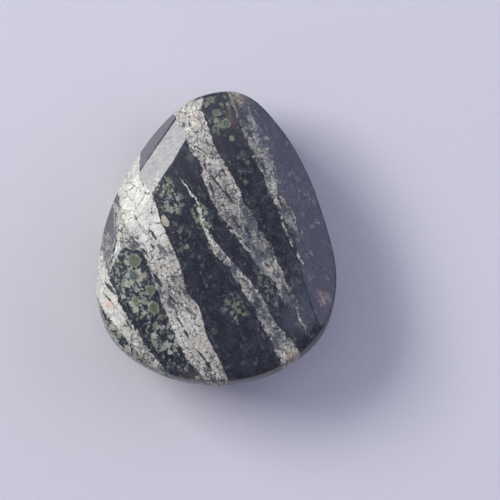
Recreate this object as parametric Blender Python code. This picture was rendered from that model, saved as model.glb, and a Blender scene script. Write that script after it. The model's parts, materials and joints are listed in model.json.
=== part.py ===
"""A polished serpentine stone: one egg-shaped pebble with ground shoulders and a flat base.

Metres, +Z up. The origin is under the middle of the stone, on the face that it rests on.
+Y runs towards the narrow end, and +X to the right of it, seen from above.
"""

import math

import bmesh
import bpy
from mathutils import Vector

# Driving dimensions.
LENGTH = 0.0420
THICKNESS = 0.0170

# How far the widest line round the stone, its girdle, reaches from the middle, as shares of LENGTH.
# Each pair is a bearing in degrees, counted anticlockwise from +X, and the reach there.
GIRDLE = (
    (0, 0.383),
    (18, 0.366),
    (40, 0.383),
    (60, 0.430),
    (80, 0.496),
    (97, 0.482),
    (112, 0.438),
    (130, 0.394),
    (150, 0.371),
    (170, 0.379),
    (190, 0.407),
    (208, 0.456),
    (225, 0.495),
    (245, 0.501),
    (270, 0.500),
    (295, 0.499),
    (317, 0.487),
    (338, 0.437),
)

# How wide the rounded rim between the wall and the top looks from above, at a bearing, in metres.
RIM = (
    (0, 0.00030),
    (30, 0.00020),
    (60, 0.00015),
    (90, 0.00020),
    (120, 0.00025),
    (150, 0.00040),
    (180, 0.00040),
    (205, 0.00050),
    (230, 0.00075),
    (260, 0.00085),
    (290, 0.00085),
    (310, 0.00080),
    (330, 0.00050),
)

# The girdle lies at half the thickness. From there an upright wall leads up to the rim, which leans
# in to a tight shoulder, and a gently domed top. A rounder belly leads down to the flat base. Each
# point is a share of the girdle's reach, how much of the rim's width is taken off it, and a share
# of the height from the girdle.
GIRDLE_HEIGHT = 0.50 * THICKNESS
TOP_RISE = THICKNESS - GIRDLE_HEIGHT
TOP_PROFILE = (
    (1.000, 0.00, 0.000),
    (1.000, 0.02, 0.300),
    (1.000, 0.05, 0.500),
    (1.000, 0.11, 0.650),
    (1.000, 0.50, 0.780),
    (1.000, 0.88, 0.872),
    (0.998, 1.00, 0.895),
    (0.970, 0.90, 0.913),
    (0.920, 0.50, 0.930),
    (0.840, 0.00, 0.949),
    (0.750, 0.00, 0.968),
    (0.600, 0.00, 0.985),
    (0.400, 0.00, 0.995),
    (0.200, 0.00, 0.9993),
    (0.100, 0.00, 1.000),
)
BELLY_PROFILE = (
    (1.000, 0.00, 0.000),
    (0.983, 0.00, 0.180),
    (0.950, 0.00, 0.370),
    (0.902, 0.00, 0.560),
    (0.842, 0.00, 0.740),
    (0.768, 0.00, 0.885),
    (0.685, 0.00, 0.972),
    (0.600, 0.00, 1.000),
)

# Ground flats: the bearing that each one faces, its tilt from level, and how far its plane lies
# from the stone's middle at the height of the girdle. The two on the left meet flats on the wall.
FLATS = {
    "upper_left_shoulder": {"bearing": 147.0, "tilt": 25.0, "reach": 0.012162},
    "upper_left_wall": {"bearing": 146.1, "tilt": 76.8, "reach": 0.015490},
    "left_shoulder": {"bearing": 157.0, "tilt": 25.0, "reach": 0.012340},
    "left_wall": {"bearing": 166.0, "tilt": 73.6, "reach": 0.015282},
    "right_shoulder": {"bearing": 28.0, "tilt": 27.0, "reach": 0.012344},
    "lower_right_shoulder": {"bearing": 12.0, "tilt": 27.0, "reach": 0.012285},
}

BEARINGS = 108  # upright lines of points round the stone
RING_GAP = 0.0013  # rings of points are no further apart than this
SNAP = 0.00004  # points this near to a flat's plane go onto it, so its rim has no slivers
STONE_COLOUR = (0.045, 0.052, 0.055, 1.0)


def clear_scene():
    for old in list(bpy.data.objects):
        bpy.data.objects.remove(old)


def eased(p0, p1, slope0, slope1, s):
    """A point between p0 and p1, with the given slopes at the two ends."""
    value = p0 * (1 + 2 * s) * (1 - s) ** 2 + p1 * s * s * (3 - 2 * s)
    return value + slope0 * s * (1 - s) ** 2 - slope1 * s * s * (1 - s)


def around(table, bearing):
    """A table's value at a bearing in degrees, on a smooth closed curve through its pairs."""
    bearing %= 360.0
    count = len(table)
    after = next((i for i, (at, _) in enumerate(table) if at > bearing), count)
    near = []
    for step in (-2, -1, 0, 1):
        turns, i = divmod(after + step, count)
        near.append((table[i][0] + 360.0 * turns, table[i][1]))
    (b0, r0), (b1, r1), (b2, r2), (b3, r3) = near
    span = b2 - b1
    slope1 = span * (r2 - r0) / (b2 - b0)
    slope2 = span * (r3 - r1) / (b3 - b1)
    return eased(r1, r2, slope1, slope2, (bearing - b1) / span)


def rings(profile, height):
    """The profile as (share of reach, share of rim, height), with more where points lie apart."""
    points = [Vector(point) for point in profile]
    last = len(points) - 1
    at = [0.0]
    for a, b in zip(points, points[1:]):
        at.append(at[-1] + (b - a).length)
    found = []
    for i in range(last):
        span = at[i + 1] - at[i]
        before, after = max(i - 1, 0), min(i + 2, last)
        slope0 = (points[i + 1] - points[before]) * (span / (at[i + 1] - at[before]))
        slope1 = (points[after] - points[i]) * (span / (at[after] - at[i]))
        run = points[i + 1] - points[i]
        steps = math.ceil(math.hypot(run.x * LENGTH / 2, run.z * height) / RING_GAP)
        for step in range(steps):
            found.append(eased(points[i], points[i + 1], slope0, slope1, step / steps))
    found.append(points[last])
    return [(point.x, point.y, point.z * height) for point in found]


def make_skin(bm):
    """Rings of points from the base to the top, joined by four-sided faces."""
    belly = [(share, rim, -drop) for share, rim, drop in rings(BELLY_PROFILE, GIRDLE_HEIGHT)]
    outline = belly[:0:-1] + rings(TOP_PROFILE, TOP_RISE)
    turns = [2 * math.pi * i / BEARINGS for i in range(BEARINGS)]
    plan = []
    for turn in turns:
        bearing = math.degrees(turn)
        outward = Vector((math.cos(turn), math.sin(turn), 0.0))
        plan.append((outward, around(GIRDLE, bearing) * LENGTH, around(RIM, bearing)))
    grid = []
    for share, rim_share, height in outline:
        lift = Vector((0.0, 0.0, GIRDLE_HEIGHT + height))
        ring = [outward * (reach * share - rim * rim_share) for outward, reach, rim in plan]
        grid.append([bm.verts.new(point + lift) for point in ring])
    for below, above in zip(grid, grid[1:]):
        for i in range(BEARINGS):
            j = (i + 1) % BEARINGS
            bm.faces.new((below[i], below[j], above[j], above[i])).smooth = True
    bm.faces.new(grid[-1]).smooth = True
    base = bm.faces.new(grid[0][::-1])
    for edge in base.edges:
        edge.smooth = False


def grind(bm, point, normal, ground):
    """Grinds away what lies beyond a plane, and leaves one flat face with a crisp rim.

    Points on the planes already ground stay where they are, so that those flats stay flat.
    """
    for vert in bm.verts:
        beyond = (vert.co - point).dot(normal)
        settled = any(abs((vert.co - at).dot(up)) < 1e-6 for at, up in ground)
        if abs(beyond) < SNAP and not settled:
            vert.co -= normal * beyond
    ground.append((point, normal))
    everything = bm.verts[:] + bm.edges[:] + bm.faces[:]
    cut = bmesh.ops.bisect_plane(
        bm, geom=everything, dist=1e-6, plane_co=point, plane_no=normal, clear_outer=True
    )
    rim = [part for part in cut["geom_cut"] if isinstance(part, bmesh.types.BMEdge)]
    flat = bmesh.ops.contextual_create(bm, geom=rim)["faces"]
    for face in flat:
        face.smooth = False
        for edge in face.edges:
            edge.smooth = False


def make_stone():
    bm = bmesh.new()
    make_skin(bm)
    middle = Vector((0.0, 0.0, GIRDLE_HEIGHT))
    ground = [(Vector((0.0, 0.0, 0.0)), Vector((0.0, 0.0, -1.0)))]
    for flat in FLATS.values():
        turn, tilt = math.radians(flat["bearing"]), math.radians(flat["tilt"])
        across = math.sin(tilt)
        normal = Vector((math.cos(turn) * across, math.sin(turn) * across, math.cos(tilt)))
        grind(bm, middle + normal * flat["reach"], normal, ground)
    set_on_origin(bm)
    mesh = bpy.data.meshes.new("stone")
    bm.to_mesh(mesh)
    bm.free()
    return bpy.data.objects.new("stone", mesh)


def set_on_origin(bm):
    """Centres the stone's outline over the origin, and brings it to its full length."""
    xs = [vert.co.x for vert in bm.verts]
    ys = [vert.co.y for vert in bm.verts]
    middle = Vector(((min(xs) + max(xs)) / 2, (min(ys) + max(ys)) / 2, 0.0))
    stretch = LENGTH / (max(ys) - min(ys))
    bmesh.ops.translate(bm, verts=bm.verts[:], vec=-middle)
    bmesh.ops.scale(bm, verts=bm.verts[:], vec=Vector((stretch, stretch, 1.0)))


def polished_serpentine():
    material = bpy.data.materials.new("polished_serpentine")
    material.use_nodes = True
    shader = material.node_tree.nodes["Principled BSDF"]
    shader.inputs["Base Color"].default_value = STONE_COLOUR
    shader.inputs["Roughness"].default_value = 0.25
    shader.inputs["Metallic"].default_value = 0.0
    return material


def main():
    clear_scene()
    collection = bpy.data.collections.new("serpentine_stone")
    bpy.context.scene.collection.children.link(collection)
    stone = make_stone()
    collection.objects.link(stone)
    stone.data.materials.append(polished_serpentine())


main()
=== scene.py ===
# %% [markdown]
# # A polished serpentine stone
# The real object is one pebble of serpentine, tumbled and polished, with pale fibre veins running
# through nearly black rock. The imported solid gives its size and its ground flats. This lesson
# puts a fine skin over that solid, cuts the cracks into it, and mixes the rock as one material.

import json
import math

import bpy
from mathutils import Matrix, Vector, noise

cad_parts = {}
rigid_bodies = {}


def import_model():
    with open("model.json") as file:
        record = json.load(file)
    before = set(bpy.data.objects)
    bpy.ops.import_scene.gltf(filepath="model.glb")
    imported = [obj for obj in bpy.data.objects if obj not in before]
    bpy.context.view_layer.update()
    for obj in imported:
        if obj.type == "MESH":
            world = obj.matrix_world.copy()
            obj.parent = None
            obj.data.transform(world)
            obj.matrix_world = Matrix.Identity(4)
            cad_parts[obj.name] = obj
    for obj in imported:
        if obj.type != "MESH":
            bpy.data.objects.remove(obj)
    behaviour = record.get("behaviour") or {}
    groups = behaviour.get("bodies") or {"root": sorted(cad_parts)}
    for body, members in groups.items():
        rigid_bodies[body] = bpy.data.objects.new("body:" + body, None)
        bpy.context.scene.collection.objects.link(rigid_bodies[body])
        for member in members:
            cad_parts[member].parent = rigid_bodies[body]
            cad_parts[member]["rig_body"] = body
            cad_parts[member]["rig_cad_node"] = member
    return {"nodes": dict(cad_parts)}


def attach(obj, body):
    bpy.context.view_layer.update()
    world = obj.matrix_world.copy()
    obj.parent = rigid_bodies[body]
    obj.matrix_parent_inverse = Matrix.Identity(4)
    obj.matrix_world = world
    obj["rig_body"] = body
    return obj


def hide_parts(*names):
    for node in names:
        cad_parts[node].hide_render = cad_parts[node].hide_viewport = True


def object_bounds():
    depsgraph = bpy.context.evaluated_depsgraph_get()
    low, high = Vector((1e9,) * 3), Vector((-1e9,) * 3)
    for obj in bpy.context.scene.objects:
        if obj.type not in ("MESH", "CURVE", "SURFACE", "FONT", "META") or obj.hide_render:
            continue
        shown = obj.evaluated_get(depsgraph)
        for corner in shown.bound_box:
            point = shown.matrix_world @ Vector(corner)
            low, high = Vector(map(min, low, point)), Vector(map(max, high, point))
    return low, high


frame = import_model()
cad_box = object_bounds()
solid = frame["nodes"]["stone"]
print("the solid measures", [round((b - a) * 1000, 2) for a, b in zip(*cad_box)], "mm")

# %% [markdown]
# ## The skin
# The solid is about 6600 triangles, and under a polished finish each one would show. A guide is
# made from a copy of it: its doubles are merged, the rims of the ground flats are creased, and a
# Subdivision Surface rounds all the rest. The guide is then left out, and only shapes the skin.

# %% Helpers to select by hand
def deselect_all():
    if bpy.context.object and bpy.context.object.mode != "OBJECT":
        bpy.ops.object.mode_set(mode="OBJECT")
    bpy.ops.object.select_all(action="DESELECT")


def pick(piece):
    deselect_all()
    piece.select_set(True)
    bpy.context.view_layer.objects.active = piece


def edit_all_of(piece):
    pick(piece)
    bpy.ops.object.mode_set(mode="EDIT")
    bpy.ops.mesh.select_all(action="SELECT")


def apply_modifier(piece, kind, **settings):
    pick(piece)
    modifier = piece.modifiers.new(kind.title(), kind)
    for name, value in settings.items():
        setattr(modifier, name, value)
    bpy.ops.object.modifier_apply(modifier=modifier.name)


# %% A guide with crisp flats and round shoulders
LEAST_FLAT = 3e-6  # square metres
DOMED = 0.98  # a face that looks up more than this is part of the domed top

guide = solid.copy()
guide.data = solid.data.copy()
guide.name = "guide"
guide.parent = None
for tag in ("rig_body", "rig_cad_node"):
    del guide[tag]
bpy.context.scene.collection.objects.link(guide)

edit_all_of(guide)
bpy.ops.mesh.remove_doubles(threshold=1e-6)
bpy.ops.mesh.dissolve_limited(angle_limit=math.radians(0.05))
bpy.ops.mesh.tris_convert_to_quads()
bpy.ops.object.mode_set(mode="OBJECT")
flats = []
for face in guide.data.polygons:
    if face.loop_total > 6 and face.area > LEAST_FLAT and face.normal.z < DOMED:
        flats.append(face)
rims = {key for face in flats for key in face.edge_keys}
crease = guide.data.attributes.new("crease_edge", "FLOAT", "EDGE")
for edge in guide.data.edges:
    crease.data[edge.index].value = 1.0 if edge.key in rims else 0.0
print(len(flats), "ground flats, the base among them, with", len(rims), "rim edges")
apply_modifier(guide, "SUBSURF", levels=2, render_levels=2)

# %% The skin: a cube blown up into an even ball, then pushed out onto the guide
BALL = 0.78  # the ball starts inside the stone, at this share of its half sizes

low, high = cad_box
deselect_all()
bpy.ops.mesh.primitive_cube_add(size=2, location=(low + high) / 2)
stone = bpy.context.object
stone.name = "polished_stone"
edit_all_of(stone)
bpy.ops.mesh.subdivide(number_cuts=7)
bpy.ops.mesh.subdivide(number_cuts=15)
bpy.ops.object.mode_set(mode="OBJECT")
apply_modifier(stone, "CAST", factor=1.0, use_radius_as_size=False, size=1.0)
stone.scale = (high - low) / 2 * BALL
pick(stone)
bpy.ops.object.transform_apply(location=True, rotation=True, scale=True)
apply_modifier(
    stone, "SHRINKWRAP", target=guide, wrap_method="PROJECT", use_positive_direction=True
)
bpy.data.objects.remove(guide)
print("the skin has", len(stone.data.polygons), "faces")

# %% [markdown]
# ## Where things are in the rock
# The veins are sheets that stand nearly upright in the rock and run from the narrow end down to the
# right. All of the pattern is laid out along that grain, in millimetres: across the veins, along
# them towards the narrow end, and up. Each vein has a left and a right edge, drawn as a curve
# through a few points (along, across), how much each edge is frayed, how much of it is missing in
# gaps, and a tone, from 0 for dark and mottled to 1 for clean white.

# %% The grain of the rock
GRAIN = math.radians(26)  # how far the veins lean from +Y towards +X at their lower ends


def to_grain(point):
    """A point in metres, as (across, along, up) in millimetres."""
    x, y, z = point * 1000
    cos, sin = math.cos(GRAIN), math.sin(GRAIN)
    return cos * x + sin * y, cos * y - sin * x, z


# %% The veins
VEINS = {
    "broad": {
        "fray": (0.9, 0.35),
        "gaps": 0.0,
        "left": [(24, -8.6), (16, -9.4), (12, -9.9), (8, -10.5), (3, -10.2), (-3, -10.7),
                 (-10.5, -11.2), (-18, -10.3), (-24, -10)],
        "right": [(24, -4), (16, -4.4), (14.2, -5.2), (12.4, -5.9), (9.9, -5.4), (5, -6),
                  (-2, -6.3), (-5, -7), (-8, -6.5), (-12, -7.2), (-24, -7.2)],
        "tone": [(16, 0.95), (9, 1), (6, 0.95), (3, 0.74), (-1, 0.58), (-4, 0.35), (-6.5, 0.52),
                 (-9, 0.7), (-14, 0.54), (-20, 0.42)],
    },
    "broad lobe": {
        "fray": (0.6, 0.2),
        "gaps": 0.3,
        "left": [(12, -11), (9.5, -11.8), (7.5, -12.6), (5.2, -12.7), (4, -11.7), (3, -10.6),
                 (1, -10)],
        "right": [(12, -11.2), (9.5, -10.2), (4, -10), (2, -10.2), (1, -10.2)],
        "tone": [(9, 0.6), (5, 0.5), (3, 0.4)],
    },
    "left rim": {
        "fray": (0.5, 0.8),
        "gaps": 0.35,
        "left": [(10, -15.2), (8, -15.6), (4.5, -17), (2, -18.6), (-1, -19), (-3.8, -18.5),
                 (-7.4, -17.6), (-11, -16.7), (-15, -15)],
        "right": [(10, -15.6), (8, -15.5), (4.3, -15.6), (1, -16.1), (-3.4, -16.3), (-6.8, -15.7),
                  (-10, -15.4), (-15, -14.2)],
        "tone": [(8, 0.7), (0, 0.95), (-6, 0.72), (-12, 0.5)],
    },
    "middle": {
        "fray": (1.0, 1.0),
        "gaps": 0.15,
        "left": [(24, 2), (18, 2.3), (14.9, 2.5), (12.2, 2.2), (10.4, 2.5), (7.6, 1.9), (4, 1.9),
                 (-0.2, 2.7), (-3.5, 3.6), (-5, 3.3), (-8.7, 4.5), (-12, 4.7), (-14.6, 6.4)],
        "right": [(24, 5.5), (16, 6.1), (11.3, 5.6), (6.8, 5.8), (0.4, 6), (-4.9, 6.4), (-9.6, 6.2),
                  (-12.9, 6.5), (-14.6, 6.2)],
        "tone": [(20, 0.74), (16, 0.66), (13, 0.58), (10, 0.5), (7, 0.46), (3, 0.32), (-1, 0.08),
                 (-5, 0.06), (-8, 0.22), (-11, 0.1), (-14, 0.2)],
    },
    "thin": {
        "fray": (0.5, 0.6),
        "gaps": 0.5,
        "left": [(14, -0.6), (9.7, -0.9), (8, -0.6), (5.5, -0.5), (2.6, -1), (-1.2, -1.4),
                 (-3.2, -0.6), (-6.6, -0.1), (-11.6, 0.4), (-24, 0.5)],
        "right": [(14, -1), (9.6, -0.7), (7.8, -0.3), (5.3, 0.1), (2.4, -0.4), (-1.7, 0.1),
                  (-5.4, 1.2), (-9, 2.2), (-14.2, 2.3), (-18.4, 3.4), (-24, 3.6)],
        "tone": [(9, 0.75), (2, 0.65), (-2, 0.55), (-4.5, 0.16), (-8, 0.4), (-11, 0.1), (-14, 0.3),
                 (-17, 0.2), (-19, 0.5), (-21, 0.5)],
    },
    "right": {
        "fray": (0.6, 1.6),
        "gaps": 0.5,
        "left": [(24, 10.4), (18, 10.4), (15.5, 10), (11, 9.9), (6.6, 9.8), (3, 9.6), (0.7, 9.6),
                 (-4.2, 9.9), (-10, 11.6)],
        "right": [(24, 12.4), (17, 12.7), (12, 12.7), (8, 12.4), (3.5, 11.8), (-0.2, 11.3),
                  (-4.9, 11.3), (-10, 11.4)],
        "tone": [(18, 0.25), (13, 0.1), (9, 0.22), (6, 0.34), (3, 0.26), (-2, 0.14), (-6, 0.0)],
    },
    "right branch": {
        "fray": (0.3, 0.3),
        "gaps": 0.6,
        "left": [(1.5, 9.7), (-0.6, 9.5), (-3, 9.1), (-8.6, 9.2), (-11.5, 9.5), (-13, 9.9)],
        "right": [(1.5, 9.5), (-0.6, 9.8), (-3, 9.5), (-8.6, 9.6), (-11.5, 9.8), (-13, 9.7)],
        "tone": [(0, 0.5), (-6, 0.45), (-12, 0.2)],
    },
    "middle branch": {
        "fray": (0.4, 0.4),
        "gaps": 0.5,
        "left": [(2, 2.3), (1, 2), (-0.8, 2.5), (-2.5, 2.8), (-3.8, 3.3), (-5, 3.8)],
        "right": [(2, 2.1), (1, 2.4), (-0.8, 3), (-2.5, 3.3), (-3.8, 3.7), (-5, 3.6)],
        "tone": [(0, 0.5), (-4, 0.45)],
    },
    "middle tail": {
        "fray": (0.3, 0.3),
        "gaps": 0.5,
        "left": [(-13.5, 6.1), (-14.2, 5.7), (-16.4, 5.5), (-18.8, 5.5), (-24, 5.4)],
        "right": [(-13.5, 5.9), (-14.2, 6), (-16.4, 5.9), (-18.8, 5.8), (-24, 5.7)],
        "tone": [(-14, 0.4), (-18, 0.35)],
    },
}
print(len(VEINS), "veins")

# %% [markdown]
# ## The cracks
# Where the fibre has parted, short gashes are open in the veins. Each is a stroke from one point to
# another (across, along) with a half width. They are cut into the skin as shallow grooves, and the
# material darkens the same strokes.

# %% The cracks
CRACKS = [
    (-8.9, 8.2, -8.9, 6.9, 0.10),
    (-7.8, 5.2, -7.7, 3.4, 0.16),
    (-10.0, 3.4, -9.7, 1.7, 0.14),
    (-10.2, -0.6, -9.8, -3.0, 0.26),
    (-9.8, -7.7, -9.7, -9.4, 0.14),
    (-9.7, -9.4, -9.7, -11.3, 0.17),
    (-7.7, 5.8, -6.1, 5.5, 0.06),
    (-11.4, -9.0, -9.6, -9.1, 0.07),
    (-9.1, 12.0, -8.3, 11.4, 0.05),
    (-8.3, 11.4, -6.9, 11.9, 0.05),
    (-8.5, 12.9, -6.9, 12.3, 0.06),
    (3.1, 13.0, 3.9, 11.7, 0.10),
    (3.1, 8.7, 3.8, 5.9, 0.16),
    (3.8, 5.9, 4.4, 3.7, 0.18),
    (-9.6, -4.2, -9.0, -6.0, 0.14),
    (3.3, 11.1, 3.0, 9.1, 0.10),
    (-9.0, -14.8, -8.7, -16.5, 0.22),
    (-9.3, -13.1, -8.8, -15.2, 0.16),
    (1.5, -14.9, 2.4, -15.4, 0.10),
    (4.3, 0.1, 4.5, -2.4, 0.14),
    (4.6, -5.9, 5.0, -7.1, 0.10),
    (2.7, 5.1, 3.1, 2.7, 0.09),
    (-16.9, 1.5, -16.2, -1.0, 0.22),
    (-17.8, 0.2, -17.3, -1.4, 0.12),
    (-16.6, -4.6, -16.3, -6.6, 0.12),
    (-9.2, -18.0, -8.5, -19.2, 0.12),
    (-8.6, 3.4, -8.5, 2.4, 0.10),
    (2.4, 13.4, 2.6, 11.9, 0.10),
    (2.6, 7.6, 2.4, 5.2, 0.13),
    (4.9, 8.9, 5.3, 7.2, 0.08),
    (3.4, 1.6, 3.7, -0.6, 0.12),
    (10.6, 11.8, 10.9, 9.6, 0.11),
    (10.2, 7.2, 10.6, 5.4, 0.10),
    (10.6, 2.2, 10.3, -0.2, 0.13),
    (0.6, -6.4, 1.2, -7.6, 0.10),
    (-8.0, -9.6, -7.4, -10.3, 0.12),
]
print(len(CRACKS), "cracks")

# %% Cut the gashes into the skin
DEEPEST = 0.16  # millimetres, as all of these are
LIP = 0.1  # a groove starts this far outside its stroke
BANK = 0.3  # and is at its deepest this far in from there
NEAR_ACROSS, NEAR_ALONG = 2.5, 4.0  # no stroke reaches further than this from its start
TOP_SIDE = 10.0  # the gashes are on the top, above this height
UNEVEN = 0.008  # a hand-ground surface is never quite even
SWELLS = 330  # how closely its swells follow each other, in swells to the metre


def depth_inside(across, along, crack):
    """How far inside a stroke a place is, in millimetres. It is below 0 outside the stroke."""
    x0, y0, x1, y1, width = crack
    start, run = Vector((x0, y0)), Vector((x1 - x0, y1 - y0))
    from_start = Vector((across, along)) - start
    share = min(max(from_start.dot(run) / run.length_squared, 0.0), 1.0)
    taper = 1.15 - 4 * (share - 0.5) ** 2
    return taper * width - (from_start - run * share).length


sunk = 0
for vert in stone.data.vertices:
    across, along, up = to_grain(vert.co)
    if up < TOP_SIDE:
        continue
    swell = (noise.noise(vert.co * SWELLS) * 0.5 + 0.5) * UNEVEN
    depth = 0.0
    for crack in CRACKS:
        if abs(across - crack[0]) > NEAR_ACROSS or abs(along - crack[1]) > NEAR_ALONG:
            continue
        inside = depth_inside(across, along, crack) + LIP
        depth = max(depth, DEEPEST * min(inside / BANK, 1.0))
    vert.co.z -= (depth + swell) / 1000
    sunk += depth > 0
print(sunk, "points of the skin lie in the gashes")

# %% [markdown]
# ## Writing a material as sums
# A rock finish is mostly arithmetic. Value wraps one socket, so that a sum on two Values adds the
# Math node that works it out, and Finish.node adds any other node with its settings and sockets.

# %% Values and finishes
class Value:
    """One output of a node, which takes part in sums."""

    def __init__(self, finish, socket):
        self.finish = finish
        self.socket = socket

    def __add__(self, other):
        return self.finish.math("ADD", self, other)

    def __sub__(self, other):
        return self.finish.math("SUBTRACT", self, other)

    def __rsub__(self, other):
        return self.finish.math("SUBTRACT", other, self)

    def __mul__(self, other):
        return self.finish.math("MULTIPLY", self, other)

    def __truediv__(self, other):
        return self.finish.math("DIVIDE", self, other)

    def __abs__(self):
        return self.finish.math("ABSOLUTE", self)

    __radd__ = __add__
    __rmul__ = __mul__


class Finish:
    """A material in the making."""

    def __init__(self, name):
        self.material = bpy.data.materials.new(name)
        self.material.use_nodes = True
        self.tree = self.material.node_tree
        self.shader = self.tree.nodes["Principled BSDF"]

    def join(self, value, socket):
        if isinstance(value, Value):
            self.tree.links.new(value.socket, socket)
        else:
            socket.default_value = value

    def node(self, kind, settings, sockets, out=0):
        made = self.tree.nodes.new(kind)
        for name, value in settings.items():
            if name == "points":
                self.draw_curve(made.mapping, value)
            else:
                setattr(made, name, value)
        for name, value in sockets.items():
            self.join(value, made.inputs[name])
        return Value(self, made.outputs[out])

    def draw_curve(self, mapping, points):
        points = sorted(points)
        curve = mapping.curves[0].points
        curve[0].location = points[0]
        curve[1].location = points[-1]
        for point in points[1:-1]:
            curve.new(*point)
        for point in curve:
            point.handle_type = "AUTO_CLAMPED"
        mapping.update()

    def math(self, operation, *values):
        return self.node("ShaderNodeMath", {"operation": operation}, dict(enumerate(values)))

    def vector(self, operation, *values, out=0):
        settings = {"operation": operation}
        return self.node("ShaderNodeVectorMath", settings, dict(enumerate(values)), out)

    def parts(self, vector):
        """The three parts of a vector or a colour."""
        split = self.node("ShaderNodeSeparateXYZ", {}, {0: vector})
        return [Value(self, part) for part in split.socket.node.outputs]

    def grey(self, value):
        """A colour with all three parts the same."""
        return self.node("ShaderNodeCombineXYZ", {}, {0: value, 1: value, 2: value})

    def least(self, a, b):
        return self.math("MINIMUM", a, b)

    def most(self, a, b):
        return self.math("MAXIMUM", a, b)

    def step(self, value, start, end):
        """0 up to start and 1 from end on, with a soft rise between. It can also run downwards."""
        falls = start > end
        low, high = min(start, end), max(start, end)
        return self.node(
            "ShaderNodeMapRange",
            {"interpolation_type": "SMOOTHSTEP"},
            {0: value, 1: low, 2: high, 3: float(falls), 4: float(not falls)},
        )

    def blend(self, share, colour_a, colour_b, how="MIX"):
        return self.node(
            "ShaderNodeMix",
            {"data_type": "RGBA", "blend_type": how},
            {0: share, 6: colour_a, 7: colour_b},
            out=2,
        )

    def noise(self, place, scale, detail=2.0, roughness=0.5, out=0):
        sockets = {"Vector": place, "Scale": scale, "Detail": detail, "Roughness": roughness}
        return self.node("ShaderNodeTexNoise", {}, sockets, out)

    def cells(self, place, scale, feature="F1", out=0):
        sockets = {"Vector": place, "Scale": scale}
        return self.node("ShaderNodeTexVoronoi", {"feature": feature}, sockets, out)


def srgb(red, green, blue):
    """A colour as it looks on a screen, from 0 to 255, as Blender's own values."""
    def linear(part):
        part /= 255
        return part / 12.92 if part < 0.04045 else ((part + 0.055) / 1.055) ** 2.4

    return (linear(red), linear(green), linear(blue), 1.0)


# %% Places in the rock, as the material reads them
rock = Finish("serpentine")
place = rock.node(
    "ShaderNodeMapping",
    {},
    {0: rock.node("ShaderNodeTexCoord", {}, {}, out="Object"), "Rotation": (0, 0, -GRAIN),
     "Scale": (1000, 1000, 1000)},
)
across, along, up = rock.parts(place)


def spread(wide, long, tall):
    """The place, with the pattern drawn out where a number is below 1."""
    return rock.vector("MULTIPLY", place, (wide, long, tall))


def shift(vector, seed):
    return rock.vector("ADD", vector, (seed, seed * 0.7, -seed))


# %% [markdown]
# ## Veins in the rock
# The distance inside a vein is the smaller of the distances to its two edges. The sheets lean a
# little under the girdle, so the veins don't run dead straight down the sides. Noise drawn out
# along the grain frays the edges.

# %% Noise that the rest shares
def centred(value):
    return value - 0.5


warp = rock.vector("SUBTRACT", rock.noise(place, 1.3, 3.0, 0.6, out=1), (0.5, 0.5, 0.5))
jitter = rock.vector("SUBTRACT", rock.noise(place, 4.5, 2.0, out=1), (0.5, 0.5, 0.5))
fleck = rock.noise(shift(place, 11), 5.5, 2.0, 0.7)
crumble = rock.noise(shift(spread(1, 0.8, 0.9), 5), 2.7, 2.0, 0.6)
mottle = rock.noise(shift(spread(1, 0.7, 0.9), 3), 1.5, 4.0, 0.72)
zone = rock.noise(shift(spread(0.5, 0.3, 0.4), 21), 1.0, 2.0)


def bent(vector, much, little):
    """The place, pushed about by slow noise and by quick noise."""
    pushed = rock.vector("ADD", vector, rock.vector("MULTIPLY", warp, (much, much, much)))
    return rock.vector("ADD", pushed, rock.vector("MULTIPLY", jitter, (little, little, little)))


# %% How deep inside a vein each place is
LEAN = 0.4  # how far the sheets lean for each millimetre down
LEAN_FROM = 8.5
SPAN = 24.0  # the curves run this far each way along the grain
REACH = 20.0  # and this far across it

fray = centred(rock.noise(spread(0.55, 0.3, 0.4), 1.0)) * 1.1
fray = fray + centred(rock.noise(shift(spread(1, 0.5, 0.8), 7), 2.2, 4.0, 0.65)) * 1.3
fray = fray + centred(crumble) * 0.5
gappy = rock.step(rock.noise(shift(spread(1.1, 0.75, 0.8), 31), 1.1, 3.0, 0.7), 0.42, 0.62)
leaning = across + rock.most(LEAN_FROM - up, 0.0) * LEAN
share_along = (along + SPAN) / (2 * SPAN)


def drawn(points, low, high):
    """A curve along the grain through points (along, value), with values from low to high."""
    scaled = [((at + SPAN) / (2 * SPAN), (value - low) / (high - low)) for at, value in points]
    line = rock.node("ShaderNodeFloatCurve", {"points": scaled}, {1: share_along})
    return line * (high - low) + low


inside = None
tone = None
for name, vein in VEINS.items():
    left, right = drawn(vein["left"], -REACH, REACH), drawn(vein["right"], -REACH, REACH)
    left_fray, right_fray = vein["fray"]
    depth = rock.least(leaning + fray * left_fray - left, right - leaning - fray * right_fray)
    depth = depth - gappy * (0.6 * vein["gaps"])
    whiteness = drawn(vein["tone"], 0, 1) * rock.step(depth, -0.3, 0.0)
    inside = depth if inside is None else rock.most(inside, depth)
    tone = whiteness if tone is None else rock.most(tone, whiteness)
vein_mask = rock.step(inside, -0.05, 0.07)

# %% Gashes, as the material sees them
gash = None
for x0, y0, x1, y1, width in CRACKS:
    start, run = Vector((x0, y0, 0)), Vector((x1 - x0, y1 - y0, 0))
    from_start = rock.vector("MULTIPLY", rock.vector("SUBTRACT", place, start), (1, 1, 0))
    share = rock.vector("DOT_PRODUCT", from_start, run / run.length_squared, out=1)
    share = rock.node("ShaderNodeClamp", {}, {0: share, 1: 0.0, 2: 1.0})
    foot = rock.node("ShaderNodeVectorMath", {"operation": "SCALE"}, {0: run, "Scale": share})
    away = rock.vector("LENGTH", rock.vector("SUBTRACT", from_start, foot), out=1)
    taper = 1.15 - 4 * (share - 0.5) * (share - 0.5)
    stroke = taper * width - away
    gash = stroke if gash is None else rock.most(gash, stroke)
gash = gash + centred(mottle) * 0.4 + centred(crumble) * 0.35
gash_mask = rock.step(gash, -0.03, 0.05) * rock.step(up, 9.0, 11.0)

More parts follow.
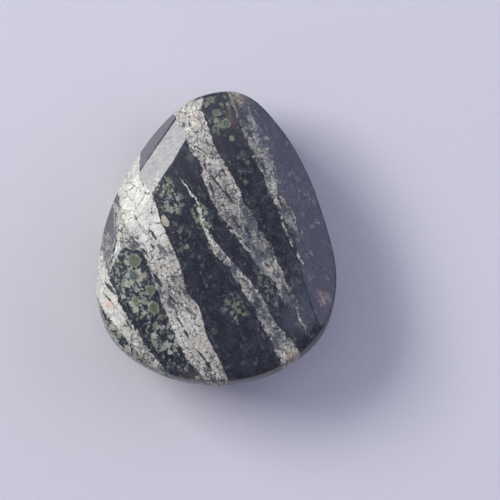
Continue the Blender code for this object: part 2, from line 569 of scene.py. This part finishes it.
# %% [markdown]
# ## Inside the veins
# Where the tone is high the vein stone has cracked into large pale blocks with hairlines between
# them. Where it is low it has broken into small plates, each with a shade of its own, with dark
# gaps round them. Long splits run down the veins, fine fibres stand across them, and pits are
# scattered over them.

# %% Blocks, plates, splits and fibres
blocks_at = bent(spread(0.6, 0.45, 0.5), 0.45, 0.12)
block_gap = rock.cells(blocks_at, 1.0, "DISTANCE_TO_EDGE")
block_tint = rock.parts(rock.cells(blocks_at, 1.0, out=1))[0]
plates_at = bent(spread(1.5, 1.15, 1.4), 0.8, 0.4)
plate_gap = rock.cells(plates_at, 1.0, "DISTANCE_TO_EDGE")
plate_tint = rock.parts(rock.cells(plates_at, 1.0, out=1))[0]
broken = rock.step((1 - tone) * 1.5 + centred(zone) * 1.2 + centred(mottle) * 0.5, 0.15, 0.5)
patches = rock.noise(bent(shift(spread(0.85, 0.5, 0.7), 27), 0.5, 0.15), 1.0, 2.0, 0.5)

hairline = rock.step(block_gap + centred(fleck) * 0.05, 0.06, 0.016)
hairline = hairline * rock.step(mottle, 0.38, 0.5) * (0.4 + rock.step(crumble, 0.48, 0.62) * 0.6)
gap_width = 0.03 + rock.step(crumble, 0.43, 0.63) * 0.145 * (1.25 - tone)
plate_edge = rock.step(plate_gap - gap_width + centred(fleck) * 0.06, 0.03, -0.03) * broken
plate_edge = plate_edge * rock.step(mottle + centred(plate_tint) * 0.1, 0.42, 0.53)
# Painted highlight: a pale band just inside each plate's edge, beside its dark gap, stands in for
# light catching the plate rims.
plate_rim_highlight = rock.step(plate_gap, 0.1, 0.18) * rock.step(plate_gap, 0.32, 0.2) * broken
splits = rock.noise(bent(shift(spread(1.9, 0.32, 0.6), 13), 0.35, 0.12), 1.0, 2.0, 0.6)
split = rock.step(abs(centred(splits)), 0.044, 0.015)
split = split * rock.step(zone + centred(mottle) * 0.5, 0.44, 0.56)
rungs = rock.noise(bent(shift(spread(0.5, 2.3, 1.2), 19), 0.4, 0.2), 1.0, 1.0, 0.5)
rung = rock.step(abs(centred(rungs)), 0.055, 0.015) * rock.step(crumble, 0.4, 0.52) * (1.1 - tone)
fibres = rock.noise(bent(spread(0.6, 4.5, 2.5), 0.5, 0.3), 1.0, 2.0, 0.6)
fibre = rock.step(abs(centred(fibres)), 0.05, 0.005) * rock.step(zone, 0.42, 0.56) * 0.4
pits = rock.step(fleck - tone * 0.06, 0.6, 0.68)

# %% The colour of the veins
WHITE = srgb(230, 230, 215)
BEIGE = srgb(194, 190, 174)
GREY = srgb(150, 150, 141)
SLATE = srgb(44, 55, 70)
STEEL = srgb(124, 135, 141)
SEAM = srgb(30, 35, 46)

level = tone + centred(plate_tint) * 0.42 + centred(block_tint) * 0.16 + centred(mottle) * 0.5
# The painted rim highlight lightens each plate along its edge.
level = level + plate_rim_highlight * 0.08
vein_colour = rock.blend(rock.step(level, 0.0, 0.5), GREY, BEIGE)
vein_colour = rock.blend(rock.step(level, 0.5, 1.0), vein_colour, WHITE)
shade = 1.05 + centred(fibres) * 0.7 + centred(fleck) * 0.9 + centred(crumble) * 0.4
vein_colour = rock.blend(1.0, vein_colour, rock.grey(shade), "MULTIPLY")
whole = centred(patches) * 2.0 + centred(mottle) * 1.2 + centred(crumble) * 0.9
whole = whole + tone * 0.5 - 0.07
# Steel streaks in the slate patches: partly pale fibre, partly a painted glint of light on that
# fibre.
fibre_streaks_and_glints = rock.step(fleck + centred(splits) * 0.5 + centred(crumble) * 0.4, 0.46, 0.62) * 0.75
vein_colour = rock.blend(
    rock.step(whole, 0.07, -0.12) * 0.86, vein_colour, rock.blend(fibre_streaks_and_glints, SLATE, STEEL)
)
open_cracks = rock.most(rock.most(hairline, plate_edge * 0.9), rock.most(fibre, pits * 0.7))
open_cracks = rock.most(open_cracks, rock.most(split * (1.15 - tone) * 0.9, rung * 0.8))
vein_colour = rock.blend(open_cracks, vein_colour, SEAM)

# %% [markdown]
# ## Grains in the dark rock
# The dark rock holds rounded grains of olive and grey green. They crowd together beside the broad
# vein and near the narrow end, and are few in the dark bands. A few of them are large and round.

# %% Where the grains crowd
CROWDS = [
    # across, along, reach across, reach along, how crowded
    (-13.6, 0.0, 2.6, 7.0, 1.0),
    (-12.8, -9.0, 2.6, 6.0, 0.6),
    (-14.8, 4.4, 2.2, 4.4, 1.0),
    (-18.5, -12.0, 3.2, 9.0, 1.0),
    (-19.0, -3.0, 1.8, 4.0, 1.0),
    (-13.0, -16.0, 4.0, 4.0, 0.5),
    (-3.4, 15.0, 2.2, 3.0, 0.3),
    (-3.6, 8.6, 2.0, 3.6, 0.8),
    (-0.4, 3.5, 1.4, 2.5, 0.9),
    (-4.0, 2.5, 2.0, 3.0, 0.42),
    (6.5, 17.5, 5.0, 3.4, 0.55),
    (7.8, 14.5, 1.6, 2.2, 0.55),
    (8.0, 7.0, 1.6, 3.6, 0.36),
    (-1.9, -10.0, 2.0, 2.6, 0.5),
    (9.8, -14.2, 1.5, 2.0, 0.5),
    (14.0, -3.0, 2.4, 9.0, 0.3),
    (3.6, -9.5, 1.2, 5.0, 0.45),
    (-4.4, -3.5, 2.2, 5.0, 0.26),
]


def away_from(middle_across, middle_along, wide, long):
    """The distance from a middle, as a share of the reach each way."""
    offset = rock.vector("SUBTRACT", place, (middle_across, middle_along, 0))
    offset = rock.vector("MULTIPLY", offset, (1 / wide, 1 / long, 0))
    return rock.vector("LENGTH", offset, out=1)


crowd = None
for middle_across, middle_along, wide, long, how_crowded in CROWDS:
    amount = rock.step(away_from(middle_across, middle_along, wide, long), 1.3, 0.5) * how_crowded
    crowd = amount if crowd is None else rock.most(crowd, amount)
low_side = rock.step(up, 9.0, 3.0)
in_drifts = rock.step(rock.noise(place, 0.16, 1.0), 0.42, 0.6)
crowd = rock.most(crowd, low_side * (0.2 + in_drifts * 0.6))
crowd = rock.most(crowd, 0.1) + centred(rock.noise(place, 0.4, 1.0)) * 0.4

# %% The grains: large ones, and crumbs between them
OLIVE = srgb(134, 137, 108)
SAGE = srgb(150, 156, 142)
MOSS = srgb(88, 95, 74)
PALE = srgb(186, 187, 168)
TEAL = srgb(90, 108, 106)


def scatter(at, scale, largest, crowded):
    """Rounded grains: how much of one is here, and the second and third throw of its dice."""
    out = rock.cells(at, scale, "F1") + centred(mottle) * 0.5 + centred(crumble) * 1.1
    first, second, third = rock.parts(rock.cells(at, scale, out=1))
    size = (0.4 + second * 0.6) * largest
    present = rock.step(crowded - first, -0.12, 0.22)
    return rock.step(out - size, 0.08, -0.12) * present, second, third


grains_at = bent(spread(1, 0.92, 1), 0.5, 0.22)
grain_mask, grain_kind, grain_hue = scatter(grains_at, 1.15, 0.64, crowd)
crumbs_at = bent(shift(spread(1, 0.9, 1), 17), 0.5, 0.3)
crumb_mask, crumb_kind, _ = scatter(crumbs_at, 2.1, 0.66, crowd * 1.25 - 0.08)

grain_colour = rock.blend(rock.step(grain_hue, 0.3, 0.7), OLIVE, SAGE)
grain_colour = rock.blend(rock.step(grain_hue, 0.86, 0.98), grain_colour, PALE)
grain_colour = rock.blend(rock.step(grain_hue, 0.16, 0.08), grain_colour, MOSS)
grain_colour = rock.blend(rock.step(crumble, 0.52, 0.66) * 0.5, grain_colour, MOSS)
crumb_colour = rock.blend(rock.step(crumb_kind, 0.3, 0.6), TEAL, SAGE)
crumb_colour = rock.blend(rock.step(crumb_kind, 0.7, 0.9), crumb_colour, OLIVE)
grain_shade = 1.04 + centred(fleck) * 1.6 + centred(mottle) * 0.9
beside_broad = rock.step(across, -9.0, -11.0)
paler = beside_broad * rock.step(grain_kind, 0.2, 0.7) * 0.7
grain_colour = rock.blend(paler, grain_colour, PALE)
crumb_colour = rock.blend(beside_broad * 0.6, crumb_colour, SAGE)
pale_here = rock.step(crowd, 0.25, 0.8) * 0.65 + 0.25

# %% A few large round grains
RIND = srgb(156, 162, 142)
ROUND = [
    # across, along, reach across, reach along, the colour inside its rind
    (-11.8, 2.3, 0.9, 0.95, srgb(100, 103, 84)),
    (-12.8, 0.4, 0.66, 0.7, srgb(76, 90, 86)),
    (-11.7, -1.2, 0.5, 0.5, srgb(44, 50, 62)),
    (-11.6, -2.5, 0.62, 0.66, srgb(106, 112, 82)),
    (-12.2, -4.9, 0.7, 0.72, srgb(96, 102, 74)),
    (-14.1, -3.0, 0.45, 0.5, srgb(104, 114, 80)),
    (-5.4, 5.4, 0.45, 0.9, srgb(186, 182, 150)),
    (8.5, 14.0, 0.52, 0.66, srgb(84, 97, 82)),
    (7.8, 16.0, 0.5, 0.5, srgb(94, 100, 82)),
    (6.8, 14.0, 0.42, 0.5, srgb(76, 88, 80)),
    (8.2, 11.8, 0.34, 0.4, srgb(122, 125, 102)),
    (-8.5, 6.6, 0.5, 0.6, SAGE),
]

# %% The dark rock between, with faint dust of blue green
NIGHT = srgb(29, 32, 42)
DUSK = srgb(45, 50, 61)
DUST = srgb(84, 96, 98)
RUSSET = srgb(66, 52, 50)

cloud = rock.noise(spread(1, 0.6, 1), 0.9, 4.0, 0.65)
dark_colour = rock.blend(rock.step(cloud, 0.4, 0.66), NIGHT, DUSK)
dark_colour = rock.blend(rock.step(zone, 0.6, 0.78) * 0.3, dark_colour, RUSSET)
dust = rock.step(rock.noise(shift(place, 2), 3.0, 4.0, 0.75), 0.57, 0.72) * (0.25 + crowd)
dark_colour = rock.blend(dust * 0.6, dark_colour, DUST)
speck = rock.step(fleck, 0.56, 0.68) * (0.12 + rock.step(across, 11.0, 13.0) * 0.25)
dark_colour = rock.blend(speck, dark_colour, DUST)
hairs = rock.noise(shift(spread(1.6, 0.14, 0.5), 9), 1.6, 2.0, 0.6)
hair = rock.step(abs(centred(hairs)), 0.014, 0.002) * rock.step(inside, -1.7, -0.2)
dark_colour = rock.blend(hair * rock.step(mottle, 0.4, 0.6) * 0.7, dark_colour, GREY)

# %% Stains of rust and tan
STAINS = [
    # across, along, reach across, reach along, strength, colour
    (11.9, 16.6, 1.6, 1.7, 0.7, srgb(168, 148, 118)),
    (-17.6, -1.7, 0.85, 1.1, 0.85, srgb(216, 150, 108)),
    (9.9, -14.2, 1.3, 1.9, 0.6, srgb(128, 88, 80)),
    (-11.7, -6.3, 1.0, 1.0, 0.6, srgb(80, 62, 62)),
    (2.6, -19.8, 1.3, 1.1, 0.55, srgb(176, 158, 116)),
    (4.6, 16.6, 1.0, 1.2, 0.45, srgb(214, 188, 172)),
    (-12.5, -16.6, 3.5, 1.8, 0.5, srgb(140, 122, 104)),
    (9.3, 14.4, 0.8, 1.6, 0.45, srgb(150, 120, 100)),
]

# %% [markdown]
# ## The finished rock
# Dark rock, then grains, then veins, then stains and the open cracks. The rock takes a better
# polish than the fibre, so the dark places are smoother, and the seams are dull.

# %% Put together
colour = rock.blend(crumb_mask * pale_here, dark_colour, crumb_colour)
colour = rock.blend(grain_mask * pale_here, colour, grain_colour)
for middle_across, middle_along, wide, long, body in ROUND:
    out = away_from(middle_across, middle_along, wide, long)
    out = out + centred(mottle) * 0.6 + centred(crumble) * 0.7
    ringed = rock.blend(rock.step(out, 0.78, 0.95) * 0.6, body, RIND)
    here = rock.step(out, 1.1, 0.98) * rock.step(up, 8.0, 10.0) * 0.9
    colour = rock.blend(here, colour, ringed)
colour = rock.blend(0.8, colour, rock.blend(1.0, colour, rock.grey(grain_shade), "MULTIPLY"))
colour = rock.blend(vein_mask, colour, vein_colour)
for middle_across, middle_along, wide, long, strength, stain in STAINS:
    out = away_from(middle_across, middle_along, wide, long)
    patch = rock.step(out + centred(mottle) * 1.6 + centred(fleck) * 0.8, 1.15, 0.2)
    colour = rock.blend(patch * strength, colour, rock.blend(0.5, stain, colour))
colour = rock.blend(gash_mask * 0.94, colour, NIGHT)
rock.join(colour, rock.shader.inputs["Base Color"])

dull = rock.most(vein_mask * (0.34 + open_cracks * 0.2), gash_mask * 0.3)
scuffs = rock.step(abs(centred(rungs)), 0.05, 0.01) * rock.step(mottle, 0.42, 0.52)
scuffs = rock.most(rock.step(fleck, 0.53, 0.64), scuffs) * (1 - vein_mask)
rough = 0.145 + dull + scuffs * 0.14 + centred(fleck) * 0.25 + centred(mottle) * 0.12
rock.join(rough, rock.shader.inputs["Roughness"])
rock.shader.inputs["IOR"].default_value = 1.6

relief = vein_mask * (-0.012 - open_cracks * 0.016) - gash_mask * 0.04 + centred(mottle) * 0.006
relief = relief + centred(fleck) * 0.003 + centred(crumble) * 0.003
bump = rock.node("ShaderNodeBump", {}, {"Height": relief, "Distance": 0.001, "Strength": 0.6})
rock.join(bump, rock.shader.inputs["Normal"])
stone.data.materials.append(rock.material)
pick(stone)
bpy.ops.object.shade_smooth()
print("the rock has", len(rock.tree.nodes), "nodes")

# %% [markdown]
# ## Paper, light and camera
# The stone lies on pale lavender paper. One soft box high on the upper left makes the bright band
# on the ground shoulder and the soft shadow, and a dim panel on the right lifts the right slope.
# A weak, wide spill beside the soft box and a small panel high on the right add a little more.

# %% The paper
PALE_LAVENDER = (0.69, 0.685, 0.72, 1)

deselect_all()
bpy.ops.mesh.primitive_plane_add(size=6)
paper = bpy.context.object
paper.name = "paper"
sheet = Finish("paper")
grain_at = sheet.node("ShaderNodeTexCoord", {}, {}, out="Object")
tooth = sheet.noise(grain_at, 900.0, 3.0, 0.6)
sheet.shader.inputs["Base Color"].default_value = PALE_LAVENDER
sheet.shader.inputs["Roughness"].default_value = 0.9
sheet.join(
    sheet.node("ShaderNodeBump", {}, {"Height": tooth, "Distance": 0.0002, "Strength": 0.25}),
    sheet.shader.inputs["Normal"],
)
paper.data.materials.append(sheet.material)


# %% The lamps
def soft_box(name, azimuth, elevation, distance, size, radiance, tint=(1, 1, 1)):
    """An oblong lamp that faces the stone, given by where it stands and how bright it looks."""
    turn, lift = math.radians(azimuth), math.radians(elevation)
    level = math.cos(lift)
    towards = Vector((math.cos(turn) * level, math.sin(turn) * level, math.sin(lift)))
    data = bpy.data.lights.new(name, "AREA")
    data.shape = "RECTANGLE"
    data.size, data.size_y = size
    data.energy = radiance * math.pi * size[0] * size[1]
    data.color = tint
    lamp = bpy.data.objects.new(name, data)
    lamp.location = towards * distance
    lamp.rotation_mode = "QUATERNION"
    lamp.rotation_quaternion = towards.to_track_quat("Z", "Y")
    bpy.context.scene.collection.objects.link(lamp)


SKY_BLUE = (0.86, 0.87, 1.28)

soft_box("soft box", 150, 43, 1.0, (0.54, 0.43), 9.3)
soft_box("spill", 125, 62, 0.9, (1.1, 0.8), 0.5, (0.97, 0.98, 1.08))
soft_box("side panel", 22, 34, 0.8, (0.9, 0.65), 1.08, SKY_BLUE)
soft_box("high panel", 332, 75, 0.8, (0.12, 0.2), 1.3, SKY_BLUE)

world = bpy.data.worlds.new("studio")
world.use_nodes = True
bpy.context.scene.world = world
background = world.node_tree.nodes["Background"]
background.inputs["Color"].default_value = (0.87, 0.86, 1.12, 1)
background.inputs["Strength"].default_value = 0.22

# %% The camera
FRAME_HEIGHT = 0.07109  # what the camera takes in, at the height of the rim
RIM_HEIGHT = 0.0135
ABOVE = 0.6

camera = bpy.data.objects.new("camera", bpy.data.cameras.new("camera"))
bpy.context.scene.collection.objects.link(camera)
camera.location = (0.00478, -0.00161, RIM_HEIGHT + ABOVE)
camera.data.lens = camera.data.sensor_width / FRAME_HEIGHT * ABOVE
camera.data.clip_start = 0.01
camera.data.clip_end = 20
bpy.context.scene.camera = camera
bpy.context.scene.view_settings.view_transform = "Standard"

# %% Hand over
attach(stone, "root")
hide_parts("stone")
